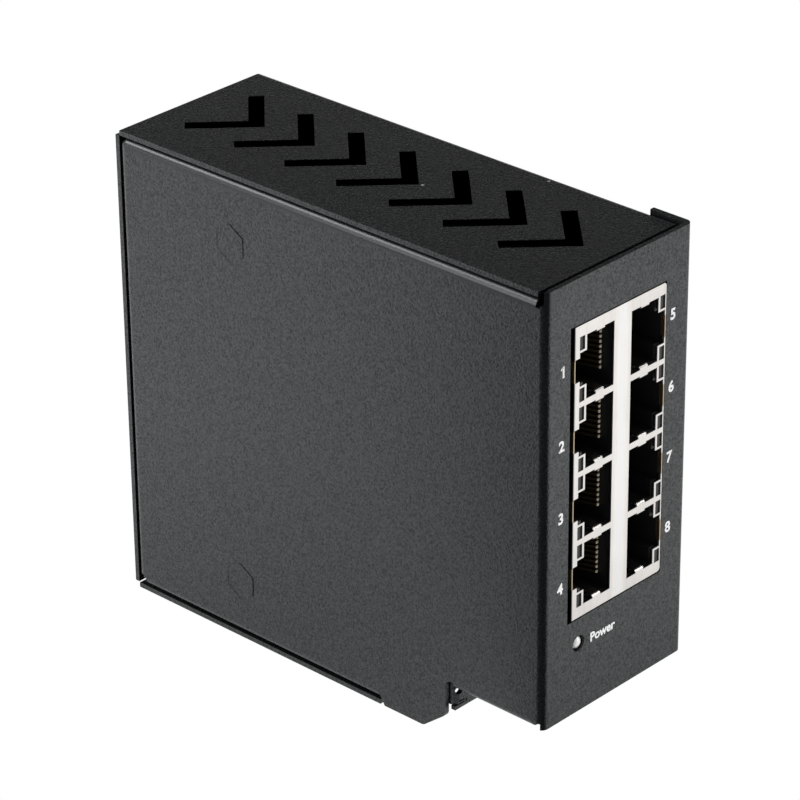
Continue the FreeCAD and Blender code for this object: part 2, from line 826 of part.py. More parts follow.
# ---- rail clip -----------------------------------------------------------------------------------
def make_bracket():
    """Folded steel: a hook for the rail's upper lip, and a channel that guides the latch below."""
    plate_top = hook_top - clip_outside
    base_half = clip_half - clip_outside
    base = block(V(-base_half, case_depth, channel_bottom), V(base_half, clip_face, plate_top))
    upper = block(V(-clip_half, case_depth, channel_top), V(clip_half, clip_face, plate_top))
    run = RIGHT * clip_width
    shelf = hook_back - case_depth - clip_outside
    hook_length = hook_top - (rail_top - hook_drop)
    parts = [
        base,
        upper,
        fold(V(-clip_half, case_depth, hook_top), DOWN, BACK, shelf, run, clip_sheet, clip_bend_inside),
        fold(V(-clip_half, hook_back, hook_top), FRONT, DOWN, hook_length, run,
             clip_sheet, clip_bend_inside),
    ]
    rise = UP * (channel_length - relief)
    wall = channel_back - case_depth - clip_outside
    for side, inward in ((-1, RIGHT), (1, LEFT)):
        edge = V(side * clip_half, case_depth, channel_bottom)
        parts.append(fold(edge, inward, BACK, wall, rise, clip_sheet, clip_bend_inside))
        lip = V(side * clip_half, channel_back, channel_bottom)
        parts.append(fold(lip, FRONT, inward, channel_lip, rise, clip_sheet, clip_bend_inside))
    half = latch_window_width / 2 - latch_gap
    tab_reach = channel_inner - case_depth
    parts.append(fold(V(-half, case_depth, stop_top), DOWN, BACK, tab_reach, RIGHT * (2 * half),
                      clip_sheet, clip_bend_inside))
    window = block(V(-half, case_depth - 1, stop_top), V(half, clip_face + 1, stop_top + tab_reach))
    bracket = joined(parts).cut(window)
    holes = [rod(clearance_radius, place + BACK, FRONT, clip_sheet + 2) for place in clip_screw_places()]
    return bracket.cut(holes)


def make_latch():
    """A moulded slide with a ramped nose for the rail's lower lip, a spring window and a pull slot."""
    front = clip_face + latch_gap
    back = front + latch_thickness
    half = clip_half - clip_sheet - latch_side_gap
    shoulder = rail_bottom - rail_gap
    tail = channel_bottom - latch_tail
    nose_front = clip_face + rail_lip + rail_gap
    tip = rail_bottom + latch_nose
    profile = [
        (front, tail),
        (back, tail),
        (back, shoulder),
        (nose_front + latch_tip, tip),
        (nose_front, tip),
        (nose_front, shoulder),
        (front, shoulder),
    ]
    body = plate([V(-half, y, z) for y, z in profile], RIGHT * (2 * half))
    window = block(V(-latch_window_width / 2, front - 1, window_bottom),
                   V(latch_window_width / 2, back + 1, window_top))
    slot_low = tail + pull_slot_rise
    pull = block(V(-pull_slot_width / 2, front - 1, slot_low),
                 V(pull_slot_width / 2, back + 1, slot_low + pull_slot_height))
    return body.cut([window, pull])


def make_spring():
    """A compression spring between the bracket's stop tab and the top of the latch's window."""
    coil_height = spring_length - 2 * spring_wire
    helix = Part.makeHelix(coil_height / spring_turns, coil_height, spring_radius)
    corners = []
    for index in range(6):
        angle = math.radians(60 * index)
        reach = spring_radius + spring_wire * math.cos(angle)
        corners.append(V(reach, 0, spring_wire * math.sin(angle)))
    section = Part.makePolygon(corners + corners[:1])
    coil = Part.Wire(helix.Edges).makePipeShell([section], True, True)
    centre_y = clip_face + latch_gap + latch_thickness / 2
    coil.translate(V(0, centre_y, stop_top + spring_wire))
    return coil


# ---- write one file per piece --------------------------------------------------------------------
def build():
    nodes = {
        "front_cover": make_cover(),
        "rear_tray": make_tray(),
        "board_standoffs": make_standoffs(),
        "circuit_board": make_board(),
        "board_screws": make_board_screws(),
        "case_screws": make_case_screws(),
        "press_nuts": make_press_nuts(),
        "jack_shield": make_shield(),
        "jack_housing": make_housing(),
        "power_light": make_led(),
        "power_light_holder": make_led_holder(),
        "power_inlet": make_inlet(),
        "power_inlet_pins": make_inlet_pins(),
        "switch_chip": make_chip(),
        "switch_chip_leads": make_chip_leads(),
        "power_inductor": round_upright_edges(on_board(inductor_place, inductor_size)),
        "clock_crystal": round_upright_edges(on_board(crystal_place, crystal_size)),
        "voltage_regulator": on_board(regulator_place, regulator_size),
        "input_fuse": on_board(fuse_place, fuse_size),
        "rail_bracket": make_bracket(),
        "rail_latch": make_latch(),
        "latch_spring": make_spring(),
        "clip_screws": make_clip_screws(),
    }
    for index in range(jack_rows):
        nodes["magnetics_" + str(index + 1)] = make_magnetics(index)
    for index in range(capacitor_count):
        nodes["capacitor_" + str(index + 1)] = make_capacitor(index)
    for number, (side, row) in enumerate(port_names, 1):
        nodes["port_contacts_" + str(number)] = make_contacts(side, row)
        nodes["port_lights_" + str(number)] = make_lights(side, row)
    return nodes


os.makedirs("parts", exist_ok=True)
for name, shape in build().items():
    shape.translate(V(0, 0, 0) - rail_seat)
    shape.exportStep("parts/" + name + ".step")
    print(name, shape.isValid(), len(shape.Solids), round(shape.Volume, 2))
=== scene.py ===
import math

import bpy
from mathutils import Matrix, Vector


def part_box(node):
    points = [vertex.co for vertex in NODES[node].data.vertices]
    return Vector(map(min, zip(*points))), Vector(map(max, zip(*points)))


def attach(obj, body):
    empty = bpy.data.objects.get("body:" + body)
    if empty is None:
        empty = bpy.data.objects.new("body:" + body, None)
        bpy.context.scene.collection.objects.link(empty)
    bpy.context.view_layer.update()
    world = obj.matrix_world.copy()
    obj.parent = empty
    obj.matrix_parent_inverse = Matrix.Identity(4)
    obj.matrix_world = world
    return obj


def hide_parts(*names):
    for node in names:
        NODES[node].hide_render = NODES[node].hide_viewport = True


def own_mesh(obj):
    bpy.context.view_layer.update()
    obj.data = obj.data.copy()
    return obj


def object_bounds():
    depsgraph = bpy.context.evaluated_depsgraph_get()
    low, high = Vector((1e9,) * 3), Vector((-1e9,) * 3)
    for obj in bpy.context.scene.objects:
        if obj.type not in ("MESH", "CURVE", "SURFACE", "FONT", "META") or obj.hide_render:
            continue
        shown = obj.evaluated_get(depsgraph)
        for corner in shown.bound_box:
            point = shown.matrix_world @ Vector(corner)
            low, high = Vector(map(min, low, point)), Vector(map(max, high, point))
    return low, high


bl_info = {
    "name": "DIN Rail Ethernet Switch",
    "version": (1, 0, 0),
    "blender": (4, 5, 0),
    "location": "3D View > Sidebar > Rail Switch",
    "description": "Dresses the packed rail switch: powder coat, plated jacks, printing, light and camera",
    "category": "Object",
}

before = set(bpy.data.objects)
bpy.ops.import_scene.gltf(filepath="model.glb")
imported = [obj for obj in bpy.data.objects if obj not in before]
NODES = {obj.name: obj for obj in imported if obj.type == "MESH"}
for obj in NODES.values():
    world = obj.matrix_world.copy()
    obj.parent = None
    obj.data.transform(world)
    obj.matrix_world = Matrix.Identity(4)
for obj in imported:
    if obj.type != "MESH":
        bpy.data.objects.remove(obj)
CAD_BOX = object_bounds()

# Faces of the case and the corners of the jack block's shield, in metres from the rail seat.
CASE_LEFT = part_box("front_cover")[0].x
FRONT_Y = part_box("front_cover")[0].y
COVER_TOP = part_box("front_cover")[1].z
TRAY_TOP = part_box("rear_tray")[1].z
SHIELD_LOW, SHIELD_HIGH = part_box("jack_shield")

# The middle of the web between the jack columns, where the painted sheen is brightest, and the distance from
# row to row of the jacks.
WEB_X = 0.00082
ROW_PITCH = 0.01397
# How far below the cover's top its smoothed bend is measured from.
BEND_DROP = 0.0018
# The tray stays lit left of the first of these and below the second.
LIP_X = -0.0142
SHADE_LOW = 0.030

# The hexagonal marks: the turns of their three pairs of flats, and the angle of the side where their painted
# rim shade is darkest.
HEX_TURNS = (0.0, math.pi / 3, -math.pi / 3)
DARK_SIDE = math.pi / 6

# The printing, in metres across and up from the rail seat; the numbers run down each column.
# A capital is CAPITAL_SHARE of the font's size, and STROKE_GAIN of its height thickens each stroke.
LEFT_NUMBERS_X = -0.01555
LEFT_NUMBERS_Z = (0.0292, 0.0146, 0.0, -0.0145)
RIGHT_NUMBERS_X = 0.0148
RIGHT_NUMBERS_Z = (0.0296, 0.0150, 0.0005, -0.0142)
POWER_SIGN_X = -0.00335
POWER_SIGN_Z = -0.0284
CAPITAL_SHARE = 0.73
STROKE_GAIN = 0.045

# Colours and amounts of the finishes that are no settings; the web's centre colour is a painted sheen, and
# the wires' deep colour is painted shade.
COAT_ROUGHNESS = 0.28
COAT_TINT = (0.94, 0.975, 1.0, 1.0)
DUST = (0.35, 0.35, 0.34, 1.0)
FLECK = (0.30, 0.30, 0.31, 1.0)
WEB_SHEEN_CENTRE = (0.785, 0.782, 0.78, 1.0)
KEY_TINGE = (0.44, 0.35, 0.24, 1.0)
WIRE_SHADE = (0.13, 0.09, 0.052, 1.0)
FINE_GRAIN = 0.000002

# The studio. FLOOR_GAIN holds in reflections only, where it helps to make the floor brighter than white.
LAMPS = (
    ("key_softbox", (-1.2, 0.35, 0.45), 0.9, 13.0),
    ("front_softbox", (0.95, -1.05, 0.30), 0.9, 14.0),
    ("edge_softbox", (-0.42, 0.58, 0.62), 0.30, 3.3),
)
LAMP_AIM = (0, -0.055, 0)
WORLD_LIGHT = 0.35
WEDGE_WAY = (-0.850, -0.527, 0.0)
FLOOR_GAIN = 1.17
CAMERA_PLACE = (-0.4725987, -0.4994363, 0.3357704)
CAMERA_RIGHT = Vector((0.680652, -0.732555, -0.008709))
CAMERA_DOWN = Vector((-0.342931, -0.308084, -0.887402))
CAMERA_AHEAD = Vector((0.647387, 0.606999, -0.460914))
CAMERA_LENS = 173.809

NUMBER, COLOUR = "NodeSocketFloat", "NodeSocketColor"


# ---- settings ------------------------------------------------------------------------------------
def length_setting(name, description, default):
    return bpy.props.FloatProperty(name=name, description=description, default=default, unit="LENGTH")


def colour_setting(name, description, default):
    return bpy.props.FloatVectorProperty(
        name=name, description=description, subtype="COLOR", size=3, default=default)


class RailSwitchSizes(bpy.types.PropertyGroup):
    """Sizes of the printing, the coat's grain, the power light, the latch's travel and the side's marks"""

    digit_height: length_setting("Digit height", "Height of the port numbers", 0.0022)
    word_height: length_setting("Word height", "Height of the capital of the power sign", 0.0019)
    ink_thickness: length_setting("Ink thickness", "How far the screen print stands on the coat", 0.00004)
    grain_size: length_setting("Grain size", "Width of one bump of the powder coat", 0.00042)
    grain_height: length_setting("Grain height", "Depth of the powder coat's texture", 0.00007)
    lens_radius: length_setting("Lens radius", "Radius of the power light's dome", 0.0015)
    lens_rim: length_setting("Lens rim", "Length of the rim at the lens's base", 0.001)
    lens_setback: length_setting("Lens setback", "How far the dome's tip stays behind the front", 0.00003)
    latch_travel: length_setting("Latch travel", "How far the rail latch slides down", 0.004)
    mark_size: length_setting("Mark size", "Width over flats of the standoff marks in the side", 0.0071)


class RailSwitchColours(bpy.types.PropertyGroup):
    """Colours of the switch's finishes"""

    powder: colour_setting("Powder coat", "Colour of the coated case", (0.0068, 0.0071, 0.0077))
    oxide: colour_setting("Black oxide", "Colour of the case screws", (0.02, 0.02, 0.021))
    plate: colour_setting("Shield plate", "Colour of the jack block's plating", (0.80, 0.77, 0.74))
    zinc: colour_setting("Zinc plate", "Colour of screws, nuts and the rail clip", (0.62, 0.63, 0.64))
    tin: colour_setting("Tin", "Colour of the tinned pins and leads", (0.70, 0.70, 0.68))
    can: colour_setting("Aluminium can", "Colour of the capacitors", (0.72, 0.73, 0.75))
    spring: colour_setting("Spring wire", "Colour of the latch's spring", (0.5, 0.5, 0.5))
    gold: colour_setting("Contact gold", "Colour of the jack contacts", (1.0, 0.88, 0.66))
    moulding: colour_setting("Black moulding", "Colour of the jacks and the latch", (0.012, 0.012, 0.013))
    indicator: colour_setting("Indicators", "Colour of the unlit port lights", (0.022, 0.022, 0.022))
    board: colour_setting("Board mask", "Colour of the circuit board", (0.012, 0.085, 0.04))
    inlet: colour_setting("Power inlet", "Colour of the power inlet", (0.02, 0.17, 0.06))
    epoxy: colour_setting("Chip epoxy", "Colour of the chips", (0.02, 0.02, 0.021))
    ferrite: colour_setting("Ferrite", "Colour of the power inductor", (0.06, 0.06, 0.065))
    fuse: colour_setting("Fuse ceramic", "Colour of the input fuse", (0.66, 0.63, 0.55))
    ink: colour_setting("Ink", "Colour of the screen print", (0.93, 0.93, 0.93))
    lens: colour_setting("Light lens", "Colour of the unlit power light", (0.92, 0.92, 0.91))


def sizes():
    return bpy.context.scene.rail_switch_sizes


def colours():
    return bpy.context.scene.rail_switch_colours


def numbered(stem, count):
    return ["%s_%d" % (stem, number) for number in range(1, count + 1)]


# ---- shader helpers ------------------------------------------------------------------------------
def feed(tree, value, entry):
    """Links a socket to an entry, or sets the entry to a plain value."""
    if isinstance(value, bpy.types.NodeSocket):
        tree.links.new(value, entry)
    else:
        entry.default_value = value


def reckon(tree, operation, *terms):
    """A math node's result, from sockets or numbers."""
    node = tree.nodes.new("ShaderNodeMath")
    node.operation = operation
    for term, entry in zip(terms, node.inputs):
        feed(tree, term, entry)
    return node.outputs[0]


def chain(tree, operation, *terms):
    """Several values put together in turn by one operation."""
    total = terms[0]
    for term in terms[1:]:
        total = reckon(tree, operation, total, term)
    return total


def ramp(tree, factor, low, high, to_low=0.0, to_high=1.0):
    """A clamped linear map of a value."""
    node = tree.nodes.new("ShaderNodeMapRange")
    node.clamp = True
    for label, value in (("Value", factor), ("From Min", low), ("From Max", high),
                         ("To Min", to_low), ("To Max", to_high)):
        feed(tree, value, node.inputs[label])
    return node.outputs["Result"]


def mix_values(tree, factor, first, second):
    node = tree.nodes.new("ShaderNodeMix")
    node.data_type = "FLOAT"
    for value, entry in ((factor, 0), (first, 2), (second, 3)):
        feed(tree, value, node.inputs[entry])
    return node.outputs[0]


def mix_colours(tree, factor, first, second, blend="MIX"):
    node = tree.nodes.new("ShaderNodeMix")
    node.data_type = "RGBA"
    node.blend_type = blend
    for value, entry in ((factor, 0), (first, 6), (second, 7)):
        feed(tree, value, node.inputs[entry])
    return node.outputs[2]


def shaded(tree, colour, share):
    """A colour darkened or lightened by a factor."""
    return mix_colours(tree, 1.0, colour, share, "MULTIPLY")


def noise(tree, vector, scale, detail=2.0, roughness=0.5):
    node = tree.nodes.new("ShaderNodeTexNoise")
    for label, value in (("Vector", vector), ("Scale", scale), ("Detail", detail), ("Roughness", roughness)):
        feed(tree, value, node.inputs[label])
    return node.outputs[0]


def axes(tree, vector):
    """The X, Y and Z of a vector."""
    node = tree.nodes.new("ShaderNodeSeparateXYZ")
    feed(tree, vector, node.inputs[0])
    return node.outputs["X"], node.outputs["Y"], node.outputs["Z"]


def vector_math(tree, operation, first, second):
    node = tree.nodes.new("ShaderNodeVectorMath")
    node.operation = operation
    feed(tree, first, node.inputs[0])
    feed(tree, second, node.inputs[1])
    return node.outputs


def opaque(colour):
    return (colour[0], colour[1], colour[2], 1.0)


# ---- shader groups -------------------------------------------------------------------------------
def new_group(name, inputs, outputs):
    """A node group with a Vector and more inputs (kind, label, default); gives its ends' sockets."""
    group = bpy.data.node_groups.new(name, "ShaderNodeTree")
    group.interface.new_socket(name="Vector", in_out="INPUT", socket_type="NodeSocketVector")
    for kind, label, default in inputs:
        socket = group.interface.new_socket(name=label, in_out="INPUT", socket_type=kind)
        socket.default_value = default
    for kind, label in outputs:
        group.interface.new_socket(name=label, in_out="OUTPUT", socket_type=kind)
    return group, group.nodes.new("NodeGroupInput").outputs, group.nodes.new("NodeGroupOutput").inputs


def powder_grain_group():
    """The orange-peel texture of powder coat, with a fine sparkle and a slow change of tone."""
    group, given, made = new_group(
        "powder_grain",
        [(NUMBER, "Grain size", 0.0006), (COLOUR, "Colour", (0.02, 0.02, 0.02, 1.0)),
         (NUMBER, "Roughness", 0.45)],
        [(COLOUR, "Colour"), (NUMBER, "Roughness"), (NUMBER, "Height"), (NUMBER, "Gloss")])
    bumps = noise(group, given["Vector"], reckon(group, "DIVIDE", 1.0, given["Grain size"]), 2.0, 0.55)
    fine = noise(group, given["Vector"], 3400.0, 1.0)
    height = reckon(group, "MULTIPLY_ADD", fine, 0.35, bumps)
    slow = noise(group, given["Vector"], 26.0, 3.0)
    tone = shaded(group, given["Colour"], ramp(group, slow, 0.3, 0.7, 0.88, 1.12))
    change = ramp(group, bumps, 0.3, 0.7, -0.04, 0.05)
    feed(group, tone, made["Colour"])
    feed(group, reckon(group, "ADD", given["Roughness"], change), made["Roughness"])
    feed(group, height, made["Height"])
    feed(group, ramp(group, height, 0.45, 0.9, 0.22, 0.90), made["Gloss"])


def dust_group():
    """Sparse pale specks: puts out a mask."""
    group, given, made = new_group(
        "dust_specks", [(NUMBER, "Scale", 260.0), (NUMBER, "Amount", 0.03)], [(NUMBER, "Mask")])
    cells = group.nodes.new("ShaderNodeTexVoronoi")
    feed(group, given["Vector"], cells.inputs["Vector"])
    feed(group, given["Scale"], cells.inputs["Scale"])
    parts = group.nodes.new("ShaderNodeSeparateColor")
    feed(group, cells.outputs["Color"], parts.inputs[0])
    near = ramp(group, cells.outputs["Distance"], 0.05, 0.09, 1.0, 0.0)
    chosen = reckon(group, "LESS_THAN", parts.outputs[0], given["Amount"])
    feed(group, reckon(group, "MULTIPLY", near, chosen), made["Mask"])


def rolled_sheet_group():
    """Fine rolling marks of plated sheet along one axis, with soft clouding."""
    group, given, made = new_group(
        "rolled_sheet",
        [(COLOUR, "Colour", (0.6, 0.6, 0.6, 1.0)), (NUMBER, "Roughness", 0.3), (NUMBER, "Streaks", 0.06)],
        [(COLOUR, "Colour"), (NUMBER, "Roughness"), (NUMBER, "Height")])
    stretch = group.nodes.new("ShaderNodeMapping")
    stretch.inputs["Scale"].default_value = (2600.0, 2600.0, 120.0)
    feed(group, given["Vector"], stretch.inputs["Vector"])
    streaks = noise(group, stretch.outputs[0], 1.0)
    cloud = noise(group, given["Vector"], 140.0, 3.0)
    centred = reckon(group, "SUBTRACT", reckon(group, "ADD", streaks, cloud), 1.0)
    amount = reckon(group, "MULTIPLY", centred, given["Streaks"])
    feed(group, reckon(group, "ADD", amount, given["Roughness"]), made["Roughness"])
    feed(group, shaded(group, given["Colour"], reckon(group, "ADD", amount, 1.0)), made["Colour"])
    feed(group, streaks, made["Height"])


def moulded_plastic_group():
    """Spark-eroded grain of moulded plastic with faint flow marks."""
    group, given, made = new_group(
        "moulded_plastic",
        [(COLOUR, "Colour", (0.02, 0.02, 0.02, 1.0)), (NUMBER, "Roughness", 0.4),
         (NUMBER, "Scale", 3000.0)],
        [(COLOUR, "Colour"), (NUMBER, "Roughness"), (NUMBER, "Height")])
    grain = noise(group, given["Vector"], given["Scale"])
    flow = noise(group, given["Vector"], 90.0)
    change = ramp(group, grain, 0.3, 0.7, -0.05, 0.06)
    feed(group, shaded(group, given["Colour"], ramp(group, flow, 0.3, 0.7, 0.85, 1.15)), made["Colour"])
    feed(group, reckon(group, "ADD", change, given["Roughness"]), made["Roughness"])
    feed(group, grain, made["Height"])


# ---- materials -----------------------------------------------------------------------------------
def new_material(name):
    """A material, its node tree, its Principled BSDF's inputs and the object's own coordinates."""
    material = bpy.data.materials.new(name)
    material.use_nodes = True
    tree = material.node_tree
    place = tree.nodes.new("ShaderNodeTexCoord").outputs["Object"]
    return material, tree, tree.nodes["Principled BSDF"].inputs, place


def use_group(tree, name, vector, **values):
    node = tree.nodes.new("ShaderNodeGroup")
    node.node_tree = bpy.data.node_groups[name]
    feed(tree, vector, node.inputs["Vector"])
    for key, value in values.items():
        node.inputs[key.replace("_", " ")].default_value = value
    return node.outputs


def bump(tree, height, look, distance, strength=1.0):
    node = tree.nodes.new("ShaderNodeBump")
    for label, value in (("Height", height), ("Distance", distance), ("Strength", strength)):
        feed(tree, value, node.inputs[label])
    feed(tree, node.outputs[0], look["Normal"])


def finish(tree, look, colour, roughness):
    feed(tree, colour, look["Base Color"])
    feed(tree, roughness, look["Roughness"])


def coat_grain(tree, place, look, colour, roughness):
    """Tints the coat's gloss and places its grain; gives the grain's sockets."""
    look["Specular Tint"].default_value = COAT_TINT
    return use_group(tree, "powder_grain", place, Colour=opaque(colour), Roughness=roughness,
                     Grain_size=sizes().grain_size)


def dusted(tree, place, grain):
    """The coat's colour with pale dust specks."""
    dust = use_group(tree, "dust_specks", place, Scale=240.0, Amount=0.12)
    return mix_colours(tree, dust["Mask"], grain["Colour"], DUST)


def coat_material(name, colour, roughness):
    """Plain dusty coat, as on the blackened case screws."""
    material, tree, look, place = new_material(name)
    grain = coat_grain(tree, place, look, colour, roughness)
    finish(tree, look, dusted(tree, place, grain), grain["Roughness"])
    feed(tree, grain["Gloss"], look["Specular IOR Level"])
    bump(tree, grain["Height"], look, sizes().grain_height)
    return material


def cover_material(name):
    """Powder coat whose grain lies smoother along the left wall's top bend."""
    material, tree, look, place = new_material(name)
    grain = coat_grain(tree, place, look, colours().powder, COAT_ROUGHNESS)
    x, _, z = axes(tree, place)
    bend = COVER_TOP - BEND_DROP
    most = 0.85
    high = ramp(tree, z, bend - 0.0022, bend - 0.0014, 0.0, most)
    beside = ramp(tree, x, CASE_LEFT + 0.0014, CASE_LEFT + 0.0024, 1.0, 0.0)
    smooth = reckon(tree, "MULTIPLY", high, beside)
    finish(tree, look, dusted(tree, place, grain),
           mix_values(tree, smooth, grain["Roughness"], COAT_ROUGHNESS + 0.04))
    feed(tree, mix_values(tree, smooth, grain["Gloss"], 0.52), look["Specular IOR Level"])
    bump(tree, grain["Height"], look, sizes().grain_height, ramp(tree, smooth, 0.0, most, 1.0, 0.08))
    return material


def tray_material(name):
    """Powder coat with pale flecks on the top, and shade on the vents' cut walls and the upper inside.

    The shade goes by place alone, so above SHADE_LOW the back and right walls also have it outside.
    """
    material, tree, look, place = new_material(name)
    grain = coat_grain(tree, place, look, colours().powder, COAT_ROUGHNESS)
    x, y, z = axes(tree, place)
    skin = ramp(tree, z, TRAY_TOP - 0.00016, TRAY_TOP - 0.00006)
    lip = ramp(tree, x, LIP_X, LIP_X + 0.0002, 1.0, 0.0)
    front = ramp(tree, y, FRONT_Y + 0.0030, FRONT_Y + 0.0032, 1.0, 0.0)
    low = ramp(tree, z, SHADE_LOW, SHADE_LOW + 0.001, 1.0, 0.0)
    lit = chain(tree, "MAXIMUM", lip, skin, front, low)
    flecks = ramp(tree, noise(tree, place, 2400.0), 0.50, 0.80, 0.0, 0.11)
    sprinkled = mix_colours(
        tree, reckon(tree, "MULTIPLY", flecks, skin), dusted(tree, place, grain), FLECK)
    finish(tree, look, shaded(tree, sprinkled, lit), grain["Roughness"])
    feed(tree, reckon(tree, "MULTIPLY", grain["Gloss"], lit), look["Specular IOR Level"])
    bump(tree, grain["Height"], look, sizes().grain_height)
    return material


def metal_material(name, colour, roughness):
    """Plated or drawn metal with fine rolling marks."""
    material, tree, look, place = new_material(name)
    sheet = use_group(tree, "rolled_sheet", place, Colour=opaque(colour), Roughness=roughness, Streaks=0.06)
    finish(tree, look, sheet["Colour"], sheet["Roughness"])
    look["Metallic"].default_value = 1.0
    bump(tree, sheet["Height"], look, FINE_GRAIN)
    return material


def plastic_material(name, colour, roughness, scale=3000.0, height=0.000006, coat=0.0):
    """Moulded plastic, ceramic, ink or epoxy with a fine grain."""
    material, tree, look, place = new_material(name)
    grain = use_group(tree, "moulded_plastic", place, Colour=opaque(colour), Roughness=roughness,
                      Scale=scale)
    finish(tree, look, grain["Colour"], grain["Roughness"])
    look["Coat Weight"].default_value = coat
    bump(tree, grain["Height"], look, height)
    return material


def mark_rim(tree, y, z):
    """Share of light left at the rims of the pressed-in heads, least toward the front and up."""
    low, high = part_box("board_standoffs")
    centre = (low + high) / 2
    half = sizes().mark_size / 2
    reach = (high.z - low.z) / 2 - half * 2 / math.sqrt(3)
    upper = reckon(tree, "GREATER_THAN", z, centre.z)
    up = reckon(tree, "SUBTRACT", z, ramp(tree, upper, 0.0, 1.0, centre.z - reach, centre.z + reach))
    along = reckon(tree, "SUBTRACT", y, centre.y)
    spans = []
    for turn in HEX_TURNS:
        share = reckon(tree, "MULTIPLY", along, math.cos(turn))
        spans.append(reckon(tree, "ABSOLUTE", reckon(tree, "MULTIPLY_ADD", up, math.sin(turn), share)))
    edge = ramp(tree, chain(tree, "MAXIMUM", *spans), half - 0.00044, half - 0.0002)
    lean = reckon(tree, "MULTIPLY", along, -math.cos(DARK_SIDE))
    slope = reckon(tree, "MULTIPLY_ADD", up, math.sin(DARK_SIDE), lean)
    bright = ramp(tree, slope, half * 0.25, half * 0.7, 1.0, 0.08)
    faint = ramp(tree, slope, -half * 0.7, -half * 0.3, 0.55, 1.0)
    return mix_values(tree, edge, 1.0, reckon(tree, "MULTIPLY", bright, faint))


def standoff_material(name):
    """Bright zinc, with the powder coat of the case on the heads' outer faces and painted shade on their
    rims.
    """
    material, tree, look, place = new_material(name)
    sheet = use_group(tree, "rolled_sheet", place, Colour=opaque(colours().zinc), Roughness=0.35,
                      Streaks=0.06)
    grain = coat_grain(tree, place, look, colours().powder, COAT_ROUGHNESS)
    x, y, z = axes(tree, place)
    # Painted shade on the heads' rims, which also dims their gloss.
    rim = mark_rim(tree, y, z)
    skin = (CASE_LEFT + 0.0002, CASE_LEFT + 0.0004)
    outside = ramp(tree, x, *skin, 1.0, 0.0)
    finish(tree, look,
           mix_colours(tree, outside, sheet["Colour"], shaded(tree, grain["Colour"], rim)),
           mix_values(tree, outside, sheet["Roughness"], grain["Roughness"]))
    feed(tree, reckon(tree, "MULTIPLY", rim, grain["Gloss"]), look["Specular IOR Level"])
    feed(tree, ramp(tree, x, *skin), look["Metallic"])
    bump(tree, grain["Height"], look, sizes().grain_height)
    return material


def key_strips(tree, x, z):
    """Masks of the strips beside the jack windows' keys, at the shield's left and right borders."""
    left = ramp(tree, x, SHIELD_LOW.x + 0.00075, SHIELD_LOW.x + 0.00085, 1.0, 0.0)
    right = ramp(tree, x, SHIELD_HIGH.x - 0.00085, SHIELD_HIGH.x - 0.00075)
    masks = []
    for node, strip in (("port_contacts_1", left), ("port_contacts_5", right)):
        low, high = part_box(node)
        rise = reckon(tree, "SUBTRACT", z, (low.z + high.z) / 2)
        off = reckon(tree, "ABSOLUTE", reckon(tree, "WRAP", rise, ROW_PITCH / 2, -ROW_PITCH / 2))
        masks.append(reckon(tree, "MULTIPLY", ramp(tree, off, 0.0020, 0.0023, 1.0, 0.0), strip))
    return masks


def shield_material(name):
    """Bright plate with a painted upright sheen on the web, and painted shade behind the face and at the
    left edge.
    """
    material, tree, look, place = new_material(name)
    sheet = use_group(tree, "rolled_sheet", place, Colour=opaque(colours().plate), Roughness=0.32,
                      Streaks=0.16)
    x, y, z = axes(tree, place)
    # Painted shade: the plate darkens behind the face and at its left edge.
    depth_shade = ramp(tree, y, SHIELD_LOW.y + 0.00022, SHIELD_LOW.y + 0.0007, 1.0, 0.10)
    edge = ramp(tree, x, SHIELD_LOW.x + 0.00005, SHIELD_LOW.x + 0.00035, 0.05, 1.0)
    # Painted sheen: the plate is lightest along the web's middle and dimmer toward its sides.
    spread = reckon(tree, "ABSOLUTE", reckon(tree, "SUBTRACT", x, WEB_X))
    sheen = ramp(tree, spread, 0.0010, 0.0024, 1.0, 0.88)
    colour = shaded(tree, sheet["Colour"], chain(tree, "MULTIPLY", depth_shade, edge, sheen))
    colour = mix_colours(tree, ramp(tree, spread, 0.0003, 0.0012, 1.0, 0.0), colour, WEB_SHEEN_CENTRE)
    for mask in key_strips(tree, x, z):
        colour = mix_colours(tree, mask, colour, KEY_TINGE)
    finish(tree, look, colour, sheet["Roughness"])
    look["Metallic"].default_value = 0.95
    bump(tree, sheet["Height"], look, FINE_GRAIN)
    return material


def contact_material(name):
    """Gold at the wires' tips, with painted shade farther in that makes them dull and dark."""
    material, tree, look, place = new_material(name)
    sheet = use_group(tree, "rolled_sheet", place, Colour=opaque(colours().gold), Roughness=0.45,
                      Streaks=0.03)
    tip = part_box("port_contacts_1")[0].y
    # Painted shade: the wires turn dark brown farther in from their tips.
    depth_shade = ramp(tree, axes(tree, place)[1], tip + 0.00012, tip + 0.00028)
    finish(tree, look, mix_colours(tree, depth_shade, sheet["Colour"], WIRE_SHADE), sheet["Roughness"])
    feed(tree, ramp(tree, depth_shade, 0.0, 1.0, 0.1, 0.9), look["Metallic"])
    return material


def dress(names, material):
    """Gives CAD nodes a material in place of their packed one."""
    for name in names:
        data = NODES[name].data
        data.materials.clear()
        data.materials.append(material)


# ---- modelling helpers ---------------------------------------------------------------------------
def deselect():
    if bpy.context.object and bpy.context.object.mode != "OBJECT":
        bpy.ops.object.mode_set(mode="OBJECT")
    bpy.ops.object.select_all(action="DESELECT")


def settle(piece, name, material, body="case"):
    """Puts a finished piece's place into its mesh, names it and lets it ride."""
    deselect()
    piece.select_set(True)
    bpy.context.view_layer.objects.active = piece
    bpy.ops.object.transform_apply(location=True, rotation=True, scale=True)
    piece.name = name
    piece.data.name = name
    piece.data.materials.clear()
    piece.data.materials.append(material)
    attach(piece, body)


def reach_of(piece):
    """Lowest and highest corner of a mesh."""
    spots = [v.co for v in piece.data.vertices]
    return (Vector([min(spot[i] for spot in spots) for i in range(3)]),
            Vector([max(spot[i] for spot in spots) for i in range(3)]))


